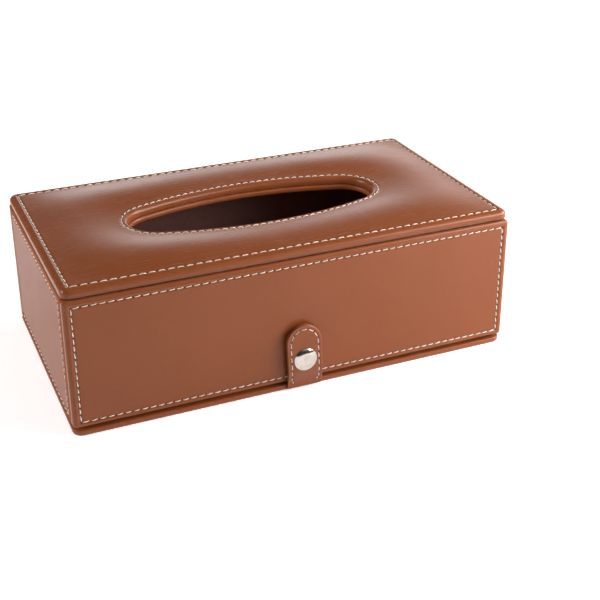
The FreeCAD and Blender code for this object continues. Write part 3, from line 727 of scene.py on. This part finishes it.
class Oval:
    """The oval's four arcs. An offset moves a point out along the oval's own normal."""

    def __init__(self, sizes, grown):
        a, b, r = (size + grown for size in sizes)
        big = (a * a + b * b - 2 * a * r) / (2 * (b - r))
        turn = math.atan2(big - b, a - r)
        self.grown = grown
        self.arcs = [
            (0, big - b, big, 1.5 * math.pi, 2 * math.pi - turn),
            (a - r, 0, r, -turn, turn),
            (0, b - big, big, turn, math.pi - turn),
            (r - a, 0, r, math.pi - turn, math.pi + turn),
            (0, big - b, big, math.pi + turn, 1.5 * math.pi),
        ]
        self.lengths = [radius * (end - start) for _, _, radius, start, end in self.arcs]
        self.around = sum(self.lengths)

    def at(self, distance):
        """Centre, radius and angle of the arc at a distance round from the oval's foot."""
        distance = distance % self.around
        for (centre_u, centre_v, radius, start, _), length in zip(self.arcs, self.lengths):
            if distance <= length:
                return centre_u, centre_v, radius, start + distance / radius
            distance -= length
        return self.at(0)

    def sample(self, distances):
        self.centre_u, self.centre_v, self.radius, self.angle = np.array([self.at(d) for d in distances]).T

    def ring(self, offset):
        """The sampled points at an offset out from the oval before it was grown."""
        radius = self.radius + offset - self.grown
        u, v = self.centre_u + radius * np.cos(self.angle), self.centre_v + radius * np.sin(self.angle)
        return np.column_stack([u, v])


def facing_distances(points, around):
    """Distances round an oval for a rectangle's points: each quarter is shared out alike."""
    along, total = length_along(points)
    foot = np.interp(0, points[: len(points) // 4, 0], along[: len(points) // 4])
    return ((along - foot) / total) % 1.0 * around


def slotted_panel(name, plate, edges, slot, rise):
    """A panel with the oval through it: a closed band of rings from the outer edge to the oval. Gives
    the piece, its oval, and the holes of its outer seam."""
    corner, roll, inner_roll = edges
    cells = tuple(STITCH_CELLS * count for count in TOP_STITCHES)

    def outer(inset):
        round_corner = max(corner - inset, SMALL_CORNER)
        return rectangle(plate.inside(inset, inset, inset), round_corner, round_corner, cells)

    oval = Oval(slot, OVAL_SEAM)
    stitched = outer(TOP_SEAM)
    _, holes, to_hole = needle_holes(stitched, cells)
    oval_along = facing_distances(stitched, oval.around)
    oval.sample(oval_along)
    pitch = oval.around / OVAL_STITCHES
    to_oval_hole = np.abs((oval_along + pitch / 2) % pitch - pitch / 2)

    profile = edge_profile(plate.thick, roll, inner_roll)
    outer_face = face_insets(roll, TOP_SEAM, TOP_OFFSETS, (0.35, 0.7))
    oval_face = face_insets(roll, OVAL_SEAM, TOP_OFFSETS, (0.5,))
    last_outer, last_oval = outer(outer_face[-1]), oval.ring(oval_face[-1])
    bridge = np.linspace(0, 1, 17)[1:-1]

    # Each ring's plan, height and inset. Between the two seams, no edge is near.
    rows = [(outer(inset), height, inset) for inset, height in profile]
    rows += [(outer(inset), plate.thick, inset) for inset in outer_face]
    rows += [(last_outer + (last_oval - last_outer) * share, plate.thick, math.inf) for share in bridge]
    rows += [(oval.ring(inset), plate.thick, inset) for inset in reversed(oval_face)]
    rows += [(oval.ring(inset), height, inset) for inset, height in reversed(profile)]

    face_start, face_end = len(profile), len(rows) - len(profile)
    rings, painted_shades, rims = [], [], []
    for index, (plan, height, inset) in enumerate(rows):
        points = plate.world(plan, height)
        relief = np.zeros(len(points))
        # Painted shade at the foot of the outer edge, over the gap below it.
        gap = GAP_SHADE * bell(height, GAP_HEIGHT) if index < face_start else 0.0
        pit = np.full(len(points), gap)
        if face_start <= index < face_end:
            near_oval = index >= face_end - len(oval_face)
            from_oval = np.linalg.norm(plan - last_oval, axis=1) + oval_face[-1] - OVAL_SEAM
            if near_oval:
                from_oval = inset - OVAL_SEAM
            from_sides = plate.half_u - TOP_SEAM - np.abs(plan[:, 0])
            from_ends = plate.half_v - TOP_SEAM - np.abs(plan[:, 1])
            relief = crown(rise, (from_sides, from_ends, from_oval))
            if index < face_start + len(outer_face):
                relief += seam_relief(inset - TOP_SEAM, to_hole)
                relief += margin_bulge(inset, TOP_SEAM, TOP_MARGIN)
                pit = painted_pit_shade(inset - TOP_SEAM, to_hole)
            if near_oval:
                relief += seam_relief(from_oval, to_oval_hole, OVAL_PUCKERS)
                relief -= OVAL_DIP * bell(from_oval + OVAL_DIP_PLACE, OVAL_DIP_WIDTH)
                pit = painted_pit_shade(from_oval, to_oval_hole)
            relief += face_waves(points, inset - roll, TOP_WAVES)
        rings.append(points + relief[:, None] * plate.n)
        painted_shades.append(pit)
        # Rims paled, partly by wear and partly by a painted sheen.
        rims.append(np.full(len(points), bell(inset, TOP_WEAR_AND_SHEEN) if height > HIDE else 0.0))
    thing = skin(f"{name}_leather", rings, closed=True, pit=painted_shades, edge=rims)
    return thing, oval, plate.world(stitched, plate.thick - THREAD_SINK)[holes]


def crown(rise, distances):
    """A padded rise, by the distances from the sides, the ends and the oval: three soft shoulders,
    multiplied so that no ridge runs into the corners."""
    for distance, shoulder in zip(distances, CROWN_SHOULDERS):
        rise = rise * (1 - np.exp(-((np.maximum(distance, 0) / shoulder) ** CROWN_POWER)))
    return rise


def build_top():
    plate = Plate("top_cover", UP, BACK)
    thing, oval, seam_points = slotted_panel("top", plate, TOP_EDGES, SLOT, CROWN_RISE)
    settle(thing, "box", "leather", TOP_LEATHER, "top_cover")
    sew("top_stitches", "box", seam_points, np.roll(seam_points, -1, axis=0), plate.n, rise=0.16 * MM)
    oval.sample(np.arange(OVAL_STITCHES) * oval.around / OVAL_STITCHES)
    holes = plate.world(oval.ring(OVAL_SEAM), plate.thick - 0.18 * MM)
    sew("opening_stitches", "box", holes, np.roll(holes, -1, axis=0), plate.n, lean=0.3 * MM)

    plate = Plate("frame_cover", UP, BACK)
    slot = tuple(size - FRAME_STEP for size in SLOT)
    thing = slotted_panel("frame", plate, FRAME_EDGES, slot, 0.0)[0]
    settle(thing, "box", "leather", LONG_LEATHER, "frame_cover")


# Hinge leather, strap and press stud


HINGE_WEAR = 0.3


def build_hinge():
    """The back wall's leather, running on to the flap. It spans the gap between them, with close rings there.
    """
    low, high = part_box("hinge_strip")
    gap_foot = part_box("flap_cover")[1].z
    gap_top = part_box("back_cover")[0].z
    edge = 0.25 * MM
    bent = np.linspace(gap_top, gap_foot, 13)
    sewn = np.linspace(gap_foot, low.z + edge, 5)
    heights = [high.z, *bent, *sewn[1:], low.z + 0.1 * MM, low.z]
    columns = np.linspace(-high.x, high.x, 180)
    rings = []
    for z in heights:
        tuck = edge if z == low.z else (0.4 * edge if z < low.z + edge else 0)
        front = [(x, low.y + tuck, z) for x in columns]
        rings.append(front + [(x, high.y - tuck, z) for x in columns[::-1]])
    rings = np.array(rings)
    rings[:, :, 1] += 0.02 * MM * unevenness(rings, 12 * MM)
    ends = rings[[0, -1]]
    ends[:, :, 1] = (low.y + high.y) / 2
    rings = np.concatenate([ends[:1], rings, ends[1:]])
    shade = np.zeros(rings.shape[:2])
    thing = skin("hinge_leather", rings, pit=shade, edge=shade + HINGE_WEAR)
    settle(thing, None, "leather", LONG_LEATHER, "hinge_strip")
    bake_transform(thing)


class Strap:
    """The strap, described as if it lay flat: across, along from its root in the flap, and out from its
    inner face. Its seam runs up the right side, round the end and down the left."""

    def __init__(self):
        outer_low, outer_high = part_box("strap_front")
        inner_low, inner_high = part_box("strap_back")
        self.centre_y, self.centre_z = inner_high.y, outer_low.z
        self.bend_radius = self.centre_y - outer_high.y
        self.thick = outer_high.y - outer_low.y
        self.inner_thick = inner_high.y - inner_low.y
        self.half = outer_high.x
        self.cap_height = sum(corner.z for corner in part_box("snap_cap")) / 2
        self.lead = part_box("strap_fold")[1].y - self.centre_y + STRAP_ROOT
        self.bend_length = (self.bend_radius + self.thick / 2) * math.pi / 2
        self.bent = self.lead + self.bend_length
        self.inner_foot = self.bent + inner_low.z - self.centre_z
        self.seam_foot = self.bent + STRAP_SEAM_FOOT
        self.spring = self.bent + outer_high.z - self.centre_z - self.half
        self.seam_radius = self.half - STRAP_SEAM
        self.straight = self.spring - self.seam_foot
        self.seam_length = 2 * self.straight + math.pi * self.seam_radius
        self.holes = self.place_holes()

    def place_holes(self):
        """The seam's needle holes, and at each foot one more, where the thread turns in."""
        distance = np.linspace(0, self.seam_length, STRAP_STITCHES + 1)
        angle = np.clip((distance - self.straight) / self.seam_radius, 0, math.pi)
        below = np.maximum(self.straight - np.minimum(distance, self.seam_length - distance), 0)
        along = self.spring + self.seam_radius * np.sin(angle) - below
        holes = np.column_stack([self.seam_radius * np.cos(angle), along])
        first = holes[0] + (-STRAP_TURN_IN, -STRAP_TURN_DOWN)
        last = holes[-1] + (STRAP_TURN_IN, -STRAP_TURN_DOWN)
        return np.concatenate([[first], holes, [last]])

    def folded(self, points):
        """Carries points of the flat strap to its folded place."""
        across, along, depth = points[..., 0], points[..., 1], points[..., 2]
        turn = np.clip((along - self.lead) / self.bend_length, 0, 1) * math.pi / 2
        radius = self.bend_radius + depth
        y = self.centre_y - radius * np.sin(turn) + np.maximum(self.lead - along, 0)
        z = self.centre_z - radius * np.cos(turn) + np.maximum(along - self.bent, 0)
        upright = smooth((z - STRAP_LEAN_FOOT) / (STRAP_LEAN_TOP - STRAP_LEAN_FOOT))
        hang = (1 - upright) * np.sin(turn)
        skew = STRAP_SKEW * (self.cap_height - z) * np.sin(turn)
        return np.stack([across + skew, y + STRAP_LEAN * hang, z + STRAP_TUCK * hang], axis=-1)

    def folded_holes(self, holes, depth):
        return self.folded(np.column_stack([holes, np.full(len(holes), depth)]))

    def outline(self, inset, foot, cells_side=80, cells_round=56, cells_foot=30):
        """The strap's outline, drawn in: up the right, round the end, down the left, along the foot."""
        radius = self.half - inset
        up = np.linspace(foot, self.spring, cells_side, endpoint=False)
        down = up[::-1] + (up[1] - up[0])
        angle = np.linspace(0, math.pi, cells_round, endpoint=False)
        across = np.linspace(-radius, radius, cells_foot, endpoint=False)
        u = np.concatenate([0 * up + radius, radius * np.cos(angle), 0 * up - radius, across])
        v = np.concatenate([up, self.spring + radius * np.sin(angle), down, 0 * across + foot])
        return np.column_stack([u, v])

    def layer(self, name, foot, thickness, lift, edge, sewn_face):
        """One layer of the strap, from the foot to the rounded end. lift is its place in the thickness."""
        profile = [(self.half, 0), (0.5 * self.half, 0), (edge, 0)]
        profile += arc_profile(edge, edge, edge, -math.pi / 2, 0, 3)[1:]
        profile += arc_profile(edge, thickness - edge, edge, 0, math.pi / 2, 4)
        insets = face_insets(edge, STRAP_SEAM, STRAP_OFFSETS, (0.4, 0.75), self.half, STRAP_SHARES)
        profile += [(inset, thickness) for inset in insets]
        rings, painted_shades, rims = [], [], []
        for inset, height in profile:
            plan = self.outline(min(inset, self.half - 0.01 * MM), foot)
            near = np.linalg.norm(plan[:, None] - self.holes[1:-1], axis=2).min(axis=1)
            on_face = sewn_face and height >= thickness
            across = inset - STRAP_SEAM
            along = np.sqrt(np.maximum(near**2 - across**2, 0))
            sewn = (plan[:, 1] > self.seam_foot - 1 * MM) * on_face
            relief = 0.8 * sewn * seam_relief(across, along)
            relief -= on_face * 0.05 * MM * bell(inset - 0.5 * STRAP_SEAM, 0.5 * MM)
            rings.append(self.folded(np.column_stack([plan, lift + height + relief])))
            # Painted shade at the strap's needle holes and along its thread.
            painted_shades.append(sewn * painted_pit_shade(across, along))
            # Rims paled, partly by wear and partly by a painted sheen.
            rims.append(np.full(len(plan), bell(inset, STRAP_WEAR_AND_SHEEN)))
        return skin(name, rings, pit=painted_shades, edge=rims)


def build_strap():
    strap = Strap()
    thick = strap.thick
    outer = strap.layer("strap_leather", 0.0, thick, 0.0, 0.35 * MM, True)
    settle(outer, None, "leather", CROSS_LEATHER, "strap_front", "strap_fold")
    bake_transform(outer)
    inner_thick = strap.inner_thick
    inner = strap.layer("strap_backing", strap.inner_foot, inner_thick, -inner_thick, 0.25 * MM, False)
    settle(inner, "strap", "leather", CROSS_LEATHER, "strap_back")

    lean = 0.15 * MM
    holes = strap.folded_holes(strap.holes, thick - STRAP_THREAD_SINK)
    sew("strap_stitches", "strap", holes[:-1], holes[1:], FRONT, lean=lean, rise=0.18 * MM, size=0.8)
    holes = strap.folded_holes(strap.holes[2:-2], STRAP_THREAD_SINK - inner_thick)
    sew("strap_back_stitches", "strap", holes[:-1], holes[1:], BACK, cover=0.62, lean=lean, rise=0.12 * MM)


def turned(name, profile, axis, sides=96):
    """A piece turned about the press stud's axis, from (radius, distance out of the wall) points."""
    angles = np.linspace(0, 2 * math.pi, sides, endpoint=False)
    rings = []
    for radius, out in profile:
        x, z = axis[0] + radius * np.cos(angles), axis[2] + radius * np.sin(angles)
        rings.append(np.column_stack([x, np.full(sides, axis[1] - out), z]))
    return skin(name, rings)


def build_snap():
    """The press stud's cap: a barrel through the strap, a rolled rim and a flat-topped dome."""
    low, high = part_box("snap_cap")
    strap_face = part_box("strap_front")[0].y
    radius = (high.x - low.x) / 2
    axis = ((low.x + high.x) / 2, strap_face, (low.z + high.z) / 2)
    height = strap_face - low.y
    barrel_end = -(high.y - strap_face)
    barrel, bevel, underside = 3.5 * MM, 0.1 * MM, 0.02 * MM
    rim, flatness = 0.45 * MM / 2, 3
    tube = [(0, barrel_end), (barrel - bevel, barrel_end), (barrel, barrel_end + bevel), (barrel, underside)]
    angles = np.linspace(-math.pi / 2, math.pi / 2.4, 8)
    edge = [(radius - 0.3 * MM, underside)]
    edge += [(radius - rim + rim * math.cos(a), rim + rim * math.sin(a)) for a in angles]
    wide, foot = edge[-1]
    shares = np.linspace(1, 0, 22)[1:]
    dome = [(wide * share, foot + (height - foot) * (1 - share**flatness)) for share in shares]
    cap = turned("press_stud_cap", tube + edge + dome, axis)
    settle(cap, "strap", "snap_metal", NICKEL, "snap_cap")


def dress_cad_nodes():
    """The CAD pieces that stay: inside the leather, and the press stud's metal."""
    finishes = (
        (BOARD, ("front_board", "back_board", "left_board", "right_board")),
        (BOARD, ("top_board", "frame_board", "flap_board", "top_infill")),
        (FOAM, ("top_foam",)),
        (VELOUR, ("ceiling_lining",)),
        (LONG_LEATHER, ("strap_tail",)),
        (NICKEL, ("snap_socket", "snap_spring", "snap_stud", "snap_rivet")),
    )
    for material, names in finishes:
        for name in names:
            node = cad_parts[name]
            node.data.materials.clear()
            node.data.materials.append(material)


# Stage, light and camera


def area_light(name, place, width, height, power, lights, mirrored):
    data = bpy.data.lights.new(name, "AREA")
    data.shape = "RECTANGLE"
    data.size, data.size_y = width, height
    data.energy = power
    lamp = placed(name, data)
    lamp.location = place
    lamp.rotation_mode = "QUATERNION"
    lamp.rotation_quaternion = (Vector(LAMP_TARGET) - Vector(place)).to_track_quat("-Z", "Y")
    lamp.visible_camera = False
    lamp.visible_diffuse, lamp.visible_glossy = lights, mirrored


def stage_card(name, corners, material):
    """A flat four-cornered piece of the stage."""
    mesh = bpy.data.meshes.new(name)
    mesh.from_pydata(corners, [], [(0, 1, 2, 3)])
    card = placed(name, mesh)
    card.data.materials.append(material)
    return card


def looked_at(make):
    """1 where the camera, gloss or glass looks, and 0 for the rays that carry light."""
    path = make.add("ShaderNodeLightPath").outputs
    seen = make.maths("MAXIMUM", path["Is Camera Ray"], path["Is Glossy Ray"])
    return make.maths("MAXIMUM", seen, path["Is Transmission Ray"])


def build_floor():
    """A pale floor. Where it is looked at, a glow lifts it to white and leaves the shadow."""
    make = Nodes("floor")
    make.tree.nodes.remove(make.shader)
    diffuse = make.add("ShaderNodeBsdfDiffuse", Color=FLOOR_COLOUR).outputs[0]
    glow = make.add("ShaderNodeEmission", Strength=FLOOR_GLOW).outputs[0]
    lifted = make.add("ShaderNodeAddShader", diffuse, glow).outputs[0]
    surface = make.add("ShaderNodeMixShader", looked_at(make), diffuse, lifted).outputs[0]
    make.feed(make.tree.nodes["Material Output"], "Surface", surface)
    corners = [(x * FLOOR_REACH, y * FLOOR_REACH, 0) for x, y in ((-1, -1), (1, -1), (1, 1), (-1, 1))]
    stage_card("floor", corners, make.material)


def build_room():
    """The room lights evenly. Where it is looked at, it is white below a slanting line, dark above."""
    world = bpy.data.worlds.new("studio")
    bpy.context.scene.world = world
    make = Nodes("studio", world)
    make.tree.nodes.clear()
    direction = make.add("ShaderNodeTexCoord").outputs["Generated"]
    parts = make.add("ShaderNodeSeparateXYZ", Vector=direction).outputs
    tilt = make.maths("MULTIPLY", make.maths("SUBTRACT", parts["X"], ROOM_LEVEL_X), ROOM_TILT)
    height = make.maths("SUBTRACT", parts["Z"], tilt)
    wall_top, ceiling_foot = (math.sin(math.radians(angle)) for angle in (WALL_TOP, CEILING_FOOT))
    seen = make.span(height, wall_top, ceiling_foot, 1.0, CEILING_SEEN)
    strength = make.span(looked_at(make), 0, 1, ROOM_LIGHT, seen)
    room = make.add("ShaderNodeBackground", Strength=strength)
    make.add("ShaderNodeOutputWorld", Surface=room.outputs[0])


def build_flags():
    """Black cards that only gloss sees: the front one gives metal its dark edge, and the left one keeps
    the haze off the left wall's top."""
    black = Nodes("flag").finish(Base_Color=FLAG_COLOUR, Roughness=1.0)
    for name, start, end, top in FLAGS:
        flag = stage_card(name, [(*start, 0), (*end, 0), (*end, top), (*start, top)], black)
        flag.visible_camera = flag.visible_diffuse = False
        flag.visible_transmission = flag.visible_shadow = False


def build_camera():
    azimuth, elevation, roll = (math.radians(angle) for angle in (AZIMUTH, ELEVATION, ROLL))
    level = math.cos(elevation)
    back = Vector((math.sin(azimuth) * level, -math.cos(azimuth) * level, math.sin(elevation)))
    right = Vector((math.cos(azimuth), math.sin(azimuth), 0))
    up = back.cross(right)
    turned_right = right * math.cos(roll) + up * math.sin(roll)
    turned_up = up * math.cos(roll) - right * math.sin(roll)
    data = bpy.data.cameras.new("camera")
    data.sensor_width = SENSOR
    data.lens = FOCAL_PIXELS * SENSOR / PICTURE
    data.shift_y = (AXIS_ROW - PICTURE / 2) / PICTURE
    data.clip_start, data.clip_end = 0.05, 20
    camera = placed("camera", data)
    axes = Matrix((turned_right, turned_up, back)).transposed()
    camera.matrix_world = Matrix.Translation(TARGET + back * DISTANCE) @ axes.to_4x4()
    bpy.context.scene.camera = camera


bpy.context.scene.view_settings.view_transform = "Standard"
build_camera()
build_floor()
build_room()
build_flags()
for lamp in LAMPS:
    area_light(*lamp)
build_walls()
build_top()
build_flap()
build_hinge()
build_strap()
build_snap()
dress_cad_nodes()
